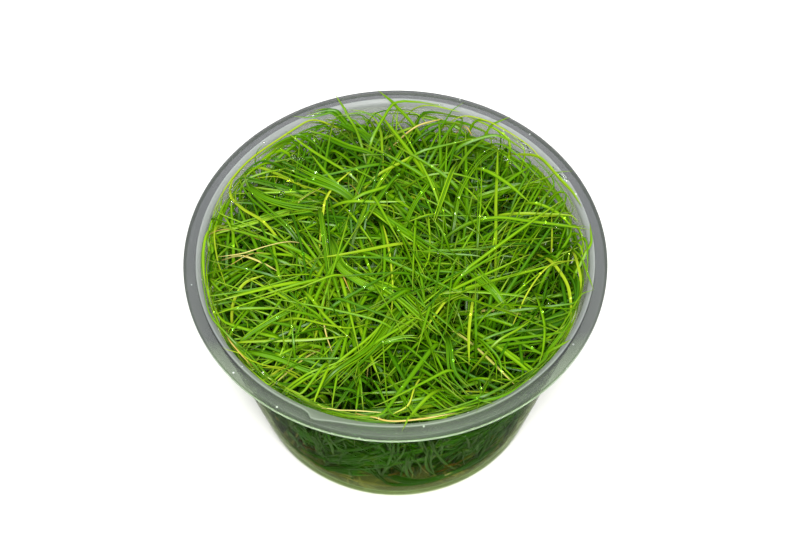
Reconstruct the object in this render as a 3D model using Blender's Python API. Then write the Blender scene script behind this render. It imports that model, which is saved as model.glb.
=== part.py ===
"""Dwarf hairgrass in its culture cup: the cup, the nutrient jelly in its base and the clumps of grass.

Metres, +Z up. The origin is the middle of the cup's foot, on the surface that the cup stands on.
"""

import random
from math import cos, pi, radians, sin, sqrt, tan

import bmesh
import bpy
from mathutils import Vector

# Cup, from its outside sizes
CUP_HEIGHT = 0.0585
FLANGE_RADIUS = 0.0505
FLANGE_TOP_DROP = 0.0004
FLANGE_EDGE_DROP = 0.0020
FLANGE_THICKNESS = 0.0008
LIP_RADIUS = 0.0474
LIP_WIDTH = 0.0013
LIP_SLOPE = 0.0010
BASE_RADIUS = 0.0354
CORNER_RADIUS = 0.0080
WALL_LEAN = radians(13.4)
WALL_THICKNESS = 0.0008
FOOT_INNER_RADIUS = 0.0230
PUSH_UP = 0.0008
CUP_SEGMENTS = 64
CORNER_STEPS = 5

# Jelly
GAP = 0.0003
JELLY_TOP = 0.0090
JELLY_SEGMENTS = 48
JELLY_CORNER_STEPS = 4

# Clumps of grass
INNER_RING_COUNT = 6
OUTER_RING_COUNT = 12
INNER_RING_RADIUS = 0.0146
OUTER_RING_RADIUS = 0.0278
OUTER_RING_TURN = radians(9.0)
PLACE_JITTER = 0.0007
CLUMP_GAP = 0.0004
WALL_GAP = 0.0005
CLUMP_SIDES = 12
ROOT_BOTTOM = 0.0034
ROOT_TIP_RADIUS = 0.0022
ROOT_RADIUS = 0.0036
CROWN_HEIGHT = 0.0115
CROWN_RADIUS = 0.0034
POCKET_SIDES = 12
CANOPY_RISE = 0.0042
CANOPY_FALL = 0.0060
CANOPY_JITTER = 0.0012
TIP_DEPTH = 0.0026
CAP_SHARE = 0.55
SEED = 7


def clear_scene():
    for item in list(bpy.data.objects):
        bpy.data.objects.remove(item, do_unlink=True)


def make_material(name, colour, roughness, alpha=1.0):
    material = bpy.data.materials.new(name)
    material.use_nodes = True
    shader = material.node_tree.nodes["Principled BSDF"]
    shader.inputs["Base Color"].default_value = (*colour, 1.0)
    shader.inputs["Roughness"].default_value = roughness
    shader.inputs["Metallic"].default_value = 0.0
    shader.inputs["Alpha"].default_value = alpha
    return material


def add_object(name, mesh, material):
    item = bpy.data.objects.new(name, mesh)
    bpy.context.scene.collection.objects.link(item)
    if material is not None:
        mesh.materials.append(material)
    return item


def arc(centre_r, centre_z, radius, start, end, steps):
    """Points of an arc in the radius and height plane, by its angles from the outward direction."""
    points = []
    for step in range(steps + 1):
        angle = start + (end - start) * step / steps
        points.append((centre_r + radius * cos(angle), centre_z + radius * sin(angle)))
    return points


def turned(name, outline, segments, material):
    """A turned solid from an outline that runs from the axis, over the top, down the outside and back."""
    mesh = bpy.data.meshes.new(name)
    points = [(radius, 0.0, height) for radius, height in outline]
    edges = [(index, index + 1) for index in range(len(points) - 1)]
    mesh.from_pydata(points, edges, [])
    item = add_object(name, mesh, material)
    screw = item.modifiers.new("turn", "SCREW")
    screw.axis = "Z"
    screw.angle = 2 * pi
    screw.steps = segments
    screw.render_steps = segments
    screw.use_merge_vertices = True
    screw.merge_threshold = 0.00001
    screw.use_smooth_shade = True
    return item


def wall_radius(height):
    """Outside radius of the cup's leaning wall above the round corner."""
    corner_r = BASE_RADIUS - CORNER_RADIUS + CORNER_RADIUS * cos(WALL_LEAN)
    corner_z = CORNER_RADIUS - CORNER_RADIUS * sin(WALL_LEAN)
    return corner_r + (height - corner_z) * tan(WALL_LEAN)


def inside_radius(height):
    """Inside radius of the cup above the round corner: the leaning wall, then the upright band at the lip."""
    return min(wall_radius(height) - WALL_THICKNESS / cos(WALL_LEAN), LIP_RADIUS - LIP_WIDTH)


def corner_outline(offset, steps):
    """The round corner between foot and wall, moved inwards by an offset, from the wall down to the foot."""
    return arc(
        BASE_RADIUS - CORNER_RADIUS,
        CORNER_RADIUS,
        CORNER_RADIUS - offset,
        -WALL_LEAN,
        -pi / 2,
        steps,
    )


def cup_outline():
    top = CUP_HEIGHT
    lip_inner = LIP_RADIUS - LIP_WIDTH
    inside_top = top - LIP_SLOPE
    flange_top = top - FLANGE_TOP_DROP
    flange_edge = top - FLANGE_EDGE_DROP
    bevel = FLANGE_THICKNESS / 2
    under = flange_top - FLANGE_THICKNESS
    inside_corner = corner_outline(WALL_THICKNESS, CORNER_STEPS)
    inside_corner.reverse()
    inside = [(0.0, PUSH_UP + WALL_THICKNESS)]
    inside += [(FOOT_INNER_RADIUS - WALL_THICKNESS, PUSH_UP + WALL_THICKNESS)]
    inside += [(FOOT_INNER_RADIUS, WALL_THICKNESS)]
    inside += inside_corner
    band_foot = top - (wall_radius(top) - WALL_THICKNESS / cos(WALL_LEAN) - lip_inner) / tan(WALL_LEAN)
    inside += [(lip_inner, band_foot)]
    rim = [
        (lip_inner, inside_top),
        (lip_inner + LIP_WIDTH / 2, top - bevel / 2),
        (LIP_RADIUS, top),
        (LIP_RADIUS + bevel, flange_top),
        (FLANGE_RADIUS - bevel, flange_top),
        (FLANGE_RADIUS, flange_top - bevel),
        (FLANGE_RADIUS, flange_edge),
        (FLANGE_RADIUS - bevel, flange_edge),
        (FLANGE_RADIUS - FLANGE_THICKNESS, under),
        (wall_radius(under), under),
    ]
    outside = corner_outline(0.0, CORNER_STEPS)
    outside += [
        (FOOT_INNER_RADIUS, 0.0),
        (FOOT_INNER_RADIUS - WALL_THICKNESS, PUSH_UP),
        (0.0, PUSH_UP),
    ]
    return inside + rim + outside


def make_cup(material):
    return turned("cup", cup_outline(), CUP_SEGMENTS, material)


def jelly_outline():
    skin = WALL_THICKNESS + GAP
    corner = corner_outline(skin, JELLY_CORNER_STEPS)
    edge = wall_radius(JELLY_TOP) - skin / cos(WALL_LEAN)
    outline = [(0.0, JELLY_TOP), (edge, JELLY_TOP)]
    outline += corner
    outline += [
        (FOOT_INNER_RADIUS + GAP, skin),
        (FOOT_INNER_RADIUS - WALL_THICKNESS, PUSH_UP + skin),
        (0.0, PUSH_UP + skin),
    ]
    return outline


def clump_places():
    """Where the clumps stand on the jelly: one in the middle, a ring of six and a ring along the wall."""
    rng = random.Random(SEED)
    places = [Vector((0.0, 0.0))]
    rings = (
        (INNER_RING_COUNT, INNER_RING_RADIUS, 0.0),
        (OUTER_RING_COUNT, OUTER_RING_RADIUS, OUTER_RING_TURN),
    )
    for count, radius, turn in rings:
        for index in range(count):
            angle = turn + 2 * pi * index / count
            reach = radius + rng.uniform(-PLACE_JITTER, PLACE_JITTER)
            side = rng.uniform(-PLACE_JITTER, PLACE_JITTER)
            places.append(
                Vector((reach * cos(angle) - side * sin(angle), reach * sin(angle) + side * cos(angle)))
            )
    return places


def make_pocket_cutter(places):
    """One hidden cutter with a tapered peg for each clump's roots."""
    low = ROOT_BOTTOM - GAP
    high = JELLY_TOP + ROOT_RADIUS
    taper = (ROOT_RADIUS - ROOT_TIP_RADIUS) / (JELLY_TOP - ROOT_BOTTOM)
    wide = ROOT_RADIUS + CLUMP_GAP + taper * (high - JELLY_TOP)
    shape = bmesh.new()
    for place in places:
        made = bmesh.ops.create_cone(
            shape,
            cap_ends=True,
            segments=POCKET_SIDES,
            radius1=ROOT_TIP_RADIUS + CLUMP_GAP,
            radius2=wide,
            depth=high - low,
        )
        offset = Vector((place.x, place.y, (low + high) / 2))
        bmesh.ops.translate(shape, verts=made["verts"], vec=offset)
    mesh = bpy.data.meshes.new("pocket_cutter")
    shape.to_mesh(mesh)
    shape.free()
    cutter = add_object("pocket_cutter", mesh, None)
    cutter.hide_render = True
    cutter.display_type = "WIRE"
    return cutter


def make_jelly(places, material):
    jelly = turned("culture_gel", jelly_outline(), JELLY_SEGMENTS, material)
    pockets = jelly.modifiers.new("root pockets", "BOOLEAN")
    pockets.operation = "DIFFERENCE"
    pockets.solver = "EXACT"
    pockets.object = make_pocket_cutter(places)
    return jelly


def spread(height):
    """How far the clumps lean out with the cup's wall at a height, against their places on the jelly."""
    if height <= JELLY_TOP:
        return 1.0
    return wall_radius(min(height, CUP_HEIGHT)) / wall_radius(JELLY_TOP)


def room(place, others, height, direction):
    """How far a clump can reach in a direction before its neighbour or the wall."""
    grown = spread(height)
    centre = place * grown
    wall = inside_radius(max(height, JELLY_TOP)) - WALL_GAP
    along = centre.dot(direction)
    reach = -along + sqrt(along * along + wall * wall - centre.dot(centre))
    for other in others:
        apart = (other - place) * grown
        towards = apart.normalized().dot(direction)
        if towards > 0.0:
            reach = min(reach, (apart.length - CLUMP_GAP) / 2 / towards)
    return reach


def canopy_height(radius):
    """The grass stands a little proud of the rim in the middle and sinks below it at the wall."""
    share = radius / (LIP_RADIUS - LIP_WIDTH)
    return CUP_HEIGHT + CANOPY_RISE - CANOPY_FALL * share ** 3


def make_clump(name, place, others, seed, material):
    """Roots in their pocket, a narrow crown, and blades that flare until they meet their neighbours."""
    rng = random.Random(seed)
    top = canopy_height(place.length * spread(CUP_HEIGHT)) + rng.uniform(-CANOPY_JITTER, 0.0)
    rise = top - CROWN_HEIGHT
    levels = [
        (ROOT_BOTTOM, ROOT_TIP_RADIUS, 0.0),
        (JELLY_TOP, ROOT_RADIUS, 0.0),
        (CROWN_HEIGHT, CROWN_RADIUS, 0.0),
        (CROWN_HEIGHT + 0.20 * rise, 2.2 * CROWN_RADIUS, 0.0),
        (CROWN_HEIGHT + 0.55 * rise, 4.5 * CROWN_RADIUS, 0.0),
        (top - TIP_DEPTH, 9.0 * CROWN_RADIUS, 0.8 * TIP_DEPTH),
    ]
    shape = bmesh.new()
    rings = []
    for height, widest, ragged in levels:
        ring = []
        for side in range(CLUMP_SIDES):
            angle = 2 * pi * side / CLUMP_SIDES
            direction = Vector((cos(angle), sin(angle)))
            point_height = height + rng.uniform(-ragged, ragged)
            centre = place * spread(point_height)
            reach = min(widest, room(place, others, point_height, direction))
            point = centre + direction * reach
            ring.append(shape.verts.new((point.x, point.y, point_height)))
        rings.append(ring)
    middle = place * spread(top)
    cap = []
    for vertex in rings[-1]:
        inward = middle + (Vector(vertex.co[:2]) - middle) * CAP_SHARE
        cap.append(shape.verts.new((inward.x, inward.y, top - rng.uniform(0.0, TIP_DEPTH / 2))))
    rings.append(cap)
    for low, high in zip(rings, rings[1:]):
        for side in range(CLUMP_SIDES):
            after = (side + 1) % CLUMP_SIDES
            shape.faces.new((low[side], low[after], high[after], high[side]))
    shape.faces.new(list(reversed(rings[0])))
    tip = shape.verts.new((middle.x, middle.y, top))
    for side in range(CLUMP_SIDES):
        after = (side + 1) % CLUMP_SIDES
        shape.faces.new((cap[side], cap[after], tip))
    bmesh.ops.triangulate(shape, faces=shape.faces[:])
    bmesh.ops.recalc_face_normals(shape, faces=shape.faces[:])
    mesh = bpy.data.meshes.new(name)
    shape.to_mesh(mesh)
    shape.free()
    mesh.shade_smooth()
    return add_object(name, mesh, material)


def main():
    clear_scene()
    plastic = make_material("translucent_plastic", (0.56, 0.60, 0.60), 0.25, 0.45)
    jelly = make_material("nutrient_jelly", (0.30, 0.33, 0.12), 0.10, 0.6)
    grass = make_material("grass", (0.15, 0.36, 0.02), 0.35)
    places = clump_places()
    make_cup(plastic)
    make_jelly(places, jelly)
    for index, place in enumerate(places):
        others = [other for other in places if other is not place]
        make_clump(f"tuft_{index + 1:02d}", place, others, SEED + index, grass)


main()
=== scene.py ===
from math import atan2, cos, degrees, hypot, pi, radians, sin, tan
from random import Random

import bpy
import numpy as np
from mathutils import Matrix, Vector


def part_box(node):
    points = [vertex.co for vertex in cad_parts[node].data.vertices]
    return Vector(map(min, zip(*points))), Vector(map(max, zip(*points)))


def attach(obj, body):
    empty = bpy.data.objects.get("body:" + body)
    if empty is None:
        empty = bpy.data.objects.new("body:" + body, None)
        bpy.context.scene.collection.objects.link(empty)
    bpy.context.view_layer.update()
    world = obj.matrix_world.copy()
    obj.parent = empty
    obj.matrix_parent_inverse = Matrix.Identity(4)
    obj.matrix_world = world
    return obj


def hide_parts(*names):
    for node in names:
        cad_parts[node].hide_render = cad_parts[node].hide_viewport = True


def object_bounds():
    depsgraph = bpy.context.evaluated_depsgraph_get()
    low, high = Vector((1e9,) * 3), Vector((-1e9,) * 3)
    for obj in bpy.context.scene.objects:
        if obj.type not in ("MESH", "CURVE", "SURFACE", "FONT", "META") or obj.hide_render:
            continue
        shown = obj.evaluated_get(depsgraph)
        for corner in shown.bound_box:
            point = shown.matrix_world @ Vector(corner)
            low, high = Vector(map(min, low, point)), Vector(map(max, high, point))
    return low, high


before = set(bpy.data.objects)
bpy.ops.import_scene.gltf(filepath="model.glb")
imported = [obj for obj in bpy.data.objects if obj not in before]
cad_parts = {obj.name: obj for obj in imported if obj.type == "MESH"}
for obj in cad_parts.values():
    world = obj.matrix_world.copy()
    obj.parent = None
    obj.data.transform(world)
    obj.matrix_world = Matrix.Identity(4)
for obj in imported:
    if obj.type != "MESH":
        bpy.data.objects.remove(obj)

cad_low, cad_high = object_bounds()

# Studio and camera
# The cup was photographed from above its front edge, about 56 degrees up, and stands on a plain pale floor.
# A wide soft panel above the camera lights it, so that its shadow falls behind it. A second one is overhead.
MM = 0.001
PICTURE_WIDTH = 800
PICTURE_HEIGHT = 533
VIEW_DISTANCE = 650.65 * MM
VIEW_ELEVATION = radians(55.563)
VIEW_ROLL = radians(-0.548)
VIEW_TARGET = Vector((1.10, 0.0, 53.9)) * MM
FOCAL_PIXELS = 2718.5
SENSOR_WIDTH = 36.0
FLOOR_HALF = 1.5
LAMP_AIM = (0, 0, 50 * MM)
LAMP_SIZE = 0.40
FLOOR_COLOUR = (0.88, 0.88, 0.88, 1.0)
SKY_COLOUR = (0.97, 0.98, 1.0, 1.0)
SKY_STRENGTH = 0.33

scene = bpy.context.scene
scene.view_settings.view_transform = "Standard"
scene.view_settings.look = "None"

bpy.ops.object.camera_add()
camera = bpy.context.object
camera.name = "camera"
camera.data.sensor_width = SENSOR_WIDTH
camera.data.lens = FOCAL_PIXELS * SENSOR_WIDTH / PICTURE_WIDTH
camera.data.clip_start = 0.01
view_back = Vector((0.0, -cos(VIEW_ELEVATION), sin(VIEW_ELEVATION)))
view_turn = Matrix.Rotation(pi / 2 - VIEW_ELEVATION, 4, "X") @ Matrix.Rotation(VIEW_ROLL, 4, "Z")
camera.matrix_world = Matrix.Translation(VIEW_TARGET + view_back * VIEW_DISTANCE) @ view_turn
scene.camera = camera
camera_place = camera.matrix_world.translation.copy()
camera_turn = camera.matrix_world.to_3x3()


def at_pixel(x, y, height):
    """The point at a height that the photograph shows at a pixel."""
    aim = Vector((x - PICTURE_WIDTH / 2, PICTURE_HEIGHT / 2 - y, -FOCAL_PIXELS))
    way = camera_turn @ aim
    return camera_place + way * ((height - camera_place.z) / way.z)


def lamp(name, place, power, colour):
    """A soft square light panel that faces the cup."""
    bpy.ops.object.light_add(type="AREA", location=place)
    made = bpy.context.object
    made.name = name
    made.data.size = LAMP_SIZE
    made.data.energy = power
    made.data.color = colour
    made.rotation_euler = (Vector(LAMP_AIM) - Vector(place)).to_track_quat("-Z", "Y").to_euler()


lamp("front_panel", (0.02, -0.50, 0.86), 15.5, (1.0, 0.99, 0.97))
lamp("top_panel", (-0.06, 0.10, 0.95), 4.0, (1.0, 1.0, 0.98))

world = bpy.data.worlds.new("studio")
world.use_nodes = True
world.node_tree.nodes["Background"].inputs["Color"].default_value = SKY_COLOUR
world.node_tree.nodes["Background"].inputs["Strength"].default_value = SKY_STRENGTH
scene.world = world


class Value:
    """A number in a material's nodes. Python's operators on it add Math nodes."""

    def __init__(self, finish, socket):
        self.finish = finish
        self.socket = socket

    def maths(self, operation, *others):
        made = self.finish.node("Math", {"operation": operation})
        for slot, value in zip(made.inputs, (self, *others)):
            self.finish.feed(slot, value)
        return Value(self.finish, made.outputs[0])

    def __add__(self, other):
        return self.maths("ADD", other)

    def __mul__(self, other):
        return self.maths("MULTIPLY", other)

    def __sub__(self, other):
        return self.maths("SUBTRACT", other)

    def __rsub__(self, other):
        return self.maths("MULTIPLY", -1.0) + other

    __radd__ = __add__
    __rmul__ = __mul__

    def between(self, low, high):
        """0 at low and 1 at high, eased, and held outside them."""
        made = self.finish.node("MapRange", {"interpolation_type": "SMOOTHSTEP"})
        for name, value in (("Value", self), ("From Min", low), ("From Max", high)):
            self.finish.feed(made.inputs[name], value)
        return Value(self.finish, made.outputs["Result"])


class Finish:
    """One material: its nodes, and its Principled shader with the values that are the same all over."""

    def __init__(self, name, values):
        self.material = bpy.data.materials.new(name)
        self.material.use_nodes = True
        self.tree = self.material.node_tree
        self.shader = self.tree.nodes["Principled BSDF"]
        for socket, value in values.items():
            self.shader.inputs[socket].default_value = value

    def feed(self, socket, value):
        if isinstance(value, Value):
            self.tree.links.new(value.socket, socket)
        elif isinstance(value, bpy.types.NodeSocket):
            self.tree.links.new(value, socket)
        else:
            socket.default_value = value

    def node(self, kind, settings, inputs=()):
        made = self.tree.nodes.new("ShaderNode" + kind)
        for key, value in settings.items():
            if key == "stops":
                for _ in value[2:]:
                    made.color_ramp.elements.new(0.5)
                for element, (position, colour) in zip(made.color_ramp.elements, value):
                    element.position = position
                    element.color = (*colour, 1.0)
            else:
                setattr(made, key, value)
        for key, value in dict(inputs).items():
            self.feed(made.inputs[key], value)
        return made

    def value(self, kind, settings, inputs, output):
        return Value(self, self.node(kind, settings, inputs).outputs[output])

    def noise(self, scale, detail=2.0, vector=None):
        inputs = {"Scale": scale, "Detail": detail, "Vector": vector or self.place()}
        return self.value("TexNoise", {}, inputs, "Fac")

    def place(self):
        return self.node("TexCoord", {}).outputs["Object"]

    def stretched(self, scale):
        return self.node("Mapping", {}, {"Vector": self.place(), "Scale": scale}).outputs["Vector"]

    def mix(self, share, first, second):
        """Two colours mixed by a share."""
        made = self.node("Mix", {"data_type": "RGBA"})
        self.feed(made.inputs["Factor"], share)
        for socket, colour in ((made.inputs[6], first), (made.inputs[7], second)):
            self.feed(socket, (*colour, 1.0) if isinstance(colour, tuple) else colour)
        return made.outputs[2]

    def ramp(self, stops, share):
        """A colour picked by a share from a row of stops."""
        return self.node("ValToRGB", {"stops": stops}, {"Fac": share}).outputs["Color"]

    def axis(self, vector, name):
        """The X, Y or Z of a vector, as a number."""
        return self.value("SeparateXYZ", {}, {"Vector": vector}, name)

    def attribute(self, name):
        """A number that the mesh carries at its vertices."""
        return self.value("Attribute", {"attribute_name": name}, {}, "Fac")

    def bump(self, height, strength, distance):
        made = self.node("Bump", {}, {"Height": height, "Strength": strength, "Distance": distance})
        self.tree.links.new(made.outputs["Normal"], self.shader.inputs["Normal"])

    def colour(self, socket):
        self.tree.links.new(socket, self.shader.inputs["Base Color"])

    def roughness(self, value):
        self.feed(self.shader.inputs["Roughness"], value)

    def over(self, share, values):
        """A second Principled shader that shows where the share is 1."""
        second = self.node("BsdfPrincipled", {}, values)
        mixed = self.node("MixShader", {}, {0: share, 1: self.shader.outputs[0], 2: second.outputs[0]})
        self.tree.links.new(mixed.outputs[0], self.tree.nodes["Material Output"].inputs["Surface"])

    def absorbing(self, colour, density):
        """Clear stuff that darkens what is behind it by the way that the light goes through it."""
        inside = self.node("VolumeAbsorption", {}, {"Color": colour, "Density": density})
        self.tree.links.new(inside.outputs[0], self.tree.nodes["Material Output"].inputs["Volume"])

    def lit_through(self, tint):
        """Lets the lamps' light through, tinted, on to what the clear piece holds."""
        surface = self.tree.nodes["Material Output"].inputs["Surface"]
        for_lamps = self.node("LightPath", {}).outputs["Is Shadow Ray"]
        passing = self.node("BsdfTransparent", {}, {"Color": tint}).outputs[0]
        mixed = self.node("MixShader", {}, {0: for_lamps, 1: surface.links[0].from_socket, 2: passing})
        self.tree.links.new(mixed.outputs[0], surface)


def bare_selection():
    if bpy.context.object and bpy.context.object.mode != "OBJECT":
        bpy.ops.object.mode_set(mode="OBJECT")
    bpy.ops.object.select_all(action="DESELECT")


bare_selection()
bpy.ops.mesh.primitive_plane_add(size=2 * FLOOR_HALF)
floor = bpy.context.object
floor.name = "floor"
paper = Finish("floor_paper", {"Roughness": 0.9, "Base Color": FLOOR_COLOUR})
floor.data.materials.append(paper.material)


# Cup
# A thin translucent polypropylene culture cup, one injection moulding with a flat rim flange and a raised lip
# that has a small step at the front left. The plastic is greyish, frosted along its edges, and clear low
# down, where wet leaves and the jelly lie against it. Towards the rim, and lower down at the back, it is
# misted and tinted a darker grey as painted shade. Its flange turns paler and greener at the front, as
# painted light.
CUP_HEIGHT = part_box("cup")[1].z
FLANGE_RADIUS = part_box("cup")[1].x
WALL = 0.8 * MM
WALL_LEAN = radians(13.4)
CORNER_CENTRE = 27.4 * MM
CORNER_RADIUS = 8.0 * MM
CORNER_STEPS = 9
FOOT_RADIUS = 23.0 * MM
PUSH_UP = 0.8 * MM
LIP_RADIUS = 47.4 * MM
LIP_WIDTH = 1.3 * MM
LIP_INNER = LIP_RADIUS - LIP_WIDTH
FLANGE_TOP = CUP_HEIGHT - 0.4 * MM
FLANGE_FOOT = CUP_HEIGHT - 2.0 * MM
CUP_SEGMENTS = 288
STEP_ANGLES = (-117.0, -115.2, -113.8, -112.0, -109.0, -105.7, -101.5, -94.0)
STEP_REACHES = (0.0, 0.35, 1.45, 1.45, 0.80, 0.42, 0.20, 0.0)
LIP_FROST = 0.33
RIDGE_FROST = 0.42
FLANGE_FROST = 0.07
# Painted light: the flange's haze grows by these gains towards the front.
PAINTED_GREEN_ZONE = (0.5, 0.9)
INNER_PAINTED_HAZE_GAIN = 1.8
OUTER_PAINTED_HAZE_GAIN = 2.8
ROUNDING_FROST = 0.10
EDGE_FROST = 0.55
SHADE_FOG_LOW = 41.5 * MM
SHADE_FOG_HIGH = 52.0 * MM
SHADE_FOG_SLOPE = 0.13
FOG_HAZE = 0.13
RIM_SHARES = ("frost", "grey", "under", "front")
# The rim's dark grey, which turns to a painted pale green at the front.
RIM_GREY_AND_PAINTED_GREEN = [
    (0.0, (0.038, 0.036, 0.050)),
    (0.35, (0.018, 0.018, 0.026)),
    (0.72, (0.020, 0.021, 0.026)),
    (0.95, (0.17, 0.25, 0.13)),
]
SPECK_SCALE = 480.0
PLASTIC_TINT = (0.42, 0.50, 0.14, 1.0)
PLASTIC_DENSITY = 290.0
LAMP_TINT = (0.95, 0.97, 0.93, 1.0)


def wall_radius(height):
    """Outside radius of the leaning wall."""
    corner_r = CORNER_CENTRE + CORNER_RADIUS * cos(WALL_LEAN)
    corner_z = CORNER_RADIUS * (1 - sin(WALL_LEAN))
    return corner_r + (height - corner_z) * tan(WALL_LEAN)


def inside_radius(height):
    """Inside radius: the round corner, the leaning wall, and the upright band under the lip."""
    inner = CORNER_RADIUS - WALL
    drop = np.clip(CORNER_RADIUS - height, 0.0, inner)
    rounded = CORNER_CENTRE + np.sqrt(inner ** 2 - drop ** 2)
    leaning = np.minimum(wall_radius(height) - WALL / cos(WALL_LEAN), LIP_INNER)
    return np.where(height < CORNER_RADIUS * (1 - sin(WALL_LEAN)), rounded, leaning)


def corner(offset, steps):
    """The round corner from the foot up to the wall, moved inwards by an offset."""
    points = []
    for step in range(steps + 1):
        angle = -pi / 2 + (pi / 2 - WALL_LEAN) * step / steps
        reach = CORNER_RADIUS - offset
        points.append((CORNER_CENTRE + reach * cos(angle), CORNER_RADIUS + reach * sin(angle)))
    return points


def turn(name, outline, segments):
    """A closed turned piece: a filled disc, extruded and scaled from point to point of its outline."""
    bare_selection()
    radius, height = outline[0]
    bpy.ops.mesh.primitive_circle_add(
        vertices=segments, radius=radius, fill_type="TRIFAN", location=(0, 0, height)
    )
    made = bpy.context.object
    made.name = name
    made.data.name = name
    bpy.ops.object.transform_apply(location=True, rotation=True, scale=True)
    bpy.ops.object.mode_set(mode="EDIT")
    bpy.ops.mesh.select_mode(type="EDGE")
    bpy.ops.mesh.select_all(action="DESELECT")
    bpy.ops.mesh.select_non_manifold()
    for (radius_was, height_was), (radius, height) in zip(outline, outline[1:]):
        bpy.ops.mesh.extrude_region_move(TRANSFORM_OT_translate={"value": (0, 0, height - height_was)})
        size = radius / radius_was
        bpy.ops.transform.resize(value=(size, size, 1.0), center_override=(0, 0, 0))
    bpy.ops.mesh.extrude_region_move()
    bpy.ops.mesh.merge(type="CENTER")
    bpy.ops.mesh.select_all(action="SELECT")
    bpy.ops.mesh.normals_make_consistent(inside=False)
    bpy.ops.object.mode_set(mode="OBJECT")
    bpy.ops.object.shade_smooth_by_angle(angle=radians(32))
    return made


def on_rim(radius, height):
    """True on the flange and the lip, and false on the wall and the upright band under the lip."""
    low_band = height < FLANGE_FOOT + 0.2 * MM and radius < LIP_RADIUS
    return height >= FLANGE_FOOT - 0.1 * MM and radius >= LIP_INNER - 0.05 * MM and not low_band


def rim_frost(radius, height, forward):
    """How frosted the rim is: at its lower edge, its clear underside, its rounding, flange, ridge and lip."""
    if height < FLANGE_FOOT + 0.3 * MM and radius > FLANGE_RADIUS - 0.55 * MM:
        return EDGE_FROST
    if height < FLANGE_TOP - 0.6 * MM and radius > LIP_RADIUS:
        return 0.0
    if radius > FLANGE_RADIUS - 0.4 * MM:
        return ROUNDING_FROST
    if radius > LIP_RADIUS + 0.15 * MM:
        # The flange is hazier towards the front: painted light.
        most = OUTER_PAINTED_HAZE_GAIN if radius > FLANGE_RADIUS - 0.8 * MM else INNER_PAINTED_HAZE_GAIN
        return FLANGE_FROST * float(np.interp(forward, PAINTED_GREEN_ZONE, (1.0, most)))
    if radius > LIP_RADIUS - 0.2 * MM:
        return RIDGE_FROST
    return LIP_FROST


straight_reach = wall_radius(CUP_HEIGHT) - WALL / cos(WALL_LEAN) - LIP_INNER
band_foot = CUP_HEIGHT - straight_reach / tan(WALL_LEAN)
cup_outline = [
    (8.0 * MM, PUSH_UP + WALL),
    (16.0 * MM, PUSH_UP + WALL),
    (FOOT_RADIUS - 1.0 * MM, PUSH_UP + WALL),
    (FOOT_RADIUS - 0.5 * MM, WALL + 0.6 * PUSH_UP),
    (FOOT_RADIUS, WALL),
]
cup_outline += corner(WALL, CORNER_STEPS)
for share in (0.2, 0.4, 0.6, 0.8):
    level = CORNER_RADIUS + share * (band_foot - CORNER_RADIUS)
    cup_outline.append((float(inside_radius(level)), level))
cup_outline += [
    (LIP_INNER, band_foot),
    (LIP_INNER, FLANGE_FOOT + 0.1 * MM),
    (LIP_INNER, CUP_HEIGHT - 1.3 * MM),
    (LIP_INNER + 0.10 * MM, CUP_HEIGHT - 0.85 * MM),
    (LIP_INNER + 0.35 * MM, CUP_HEIGHT - 0.45 * MM),
    (LIP_RADIUS - 0.35 * MM, CUP_HEIGHT - 0.12 * MM),
    (LIP_RADIUS - 0.12 * MM, CUP_HEIGHT),
    (LIP_RADIUS + 0.08 * MM, CUP_HEIGHT - 0.06 * MM),
    (LIP_RADIUS + 0.22 * MM, FLANGE_TOP - 0.10 * MM),
    (LIP_RADIUS + 0.55 * MM, FLANGE_TOP - 0.18 * MM),
    (FLANGE_RADIUS - 0.75 * MM, FLANGE_TOP - 0.05 * MM),
    (FLANGE_RADIUS - 0.30 * MM, FLANGE_TOP - 0.12 * MM),
    (FLANGE_RADIUS - 0.08 * MM, FLANGE_TOP - 0.30 * MM),
    (FLANGE_RADIUS, FLANGE_TOP - 0.55 * MM),
    (FLANGE_RADIUS, FLANGE_FOOT + 0.50 * MM),
    (FLANGE_RADIUS, FLANGE_FOOT + 0.12 * MM),
    (FLANGE_RADIUS - 0.15 * MM, FLANGE_FOOT),
    (FLANGE_RADIUS - 0.50 * MM, FLANGE_FOOT),
    (FLANGE_RADIUS - 0.65 * MM, FLANGE_FOOT + 0.15 * MM),
    (FLANGE_RADIUS - 0.80 * MM, FLANGE_TOP - 0.75 * MM),
    (FLANGE_RADIUS - 1.10 * MM, FLANGE_TOP - 0.85 * MM),
    (wall_radius(FLANGE_TOP) + 0.45 * MM, FLANGE_TOP - 0.85 * MM),
    (wall_radius(FLANGE_TOP) - 0.05 * MM, FLANGE_TOP - 1.30 * MM),
]
for share in (0.8, 0.6, 0.4, 0.2):
    level = CORNER_RADIUS + share * (FLANGE_TOP - CORNER_RADIUS)
    cup_outline.append((wall_radius(level), level))
cup_outline += reversed(corner(0.0, CORNER_STEPS))
cup_outline += [
    (FOOT_RADIUS + 0.3 * MM, 0.0),
    (FOOT_RADIUS, 0.15 * MM),
    (FOOT_RADIUS - 0.5 * MM, 0.8 * PUSH_UP),
    (FOOT_RADIUS - 0.9 * MM, PUSH_UP),
    (16.0 * MM, PUSH_UP),
    (8.0 * MM, PUSH_UP),
]
cup = turn("culture_cup", cup_outline, CUP_SEGMENTS)

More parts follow.
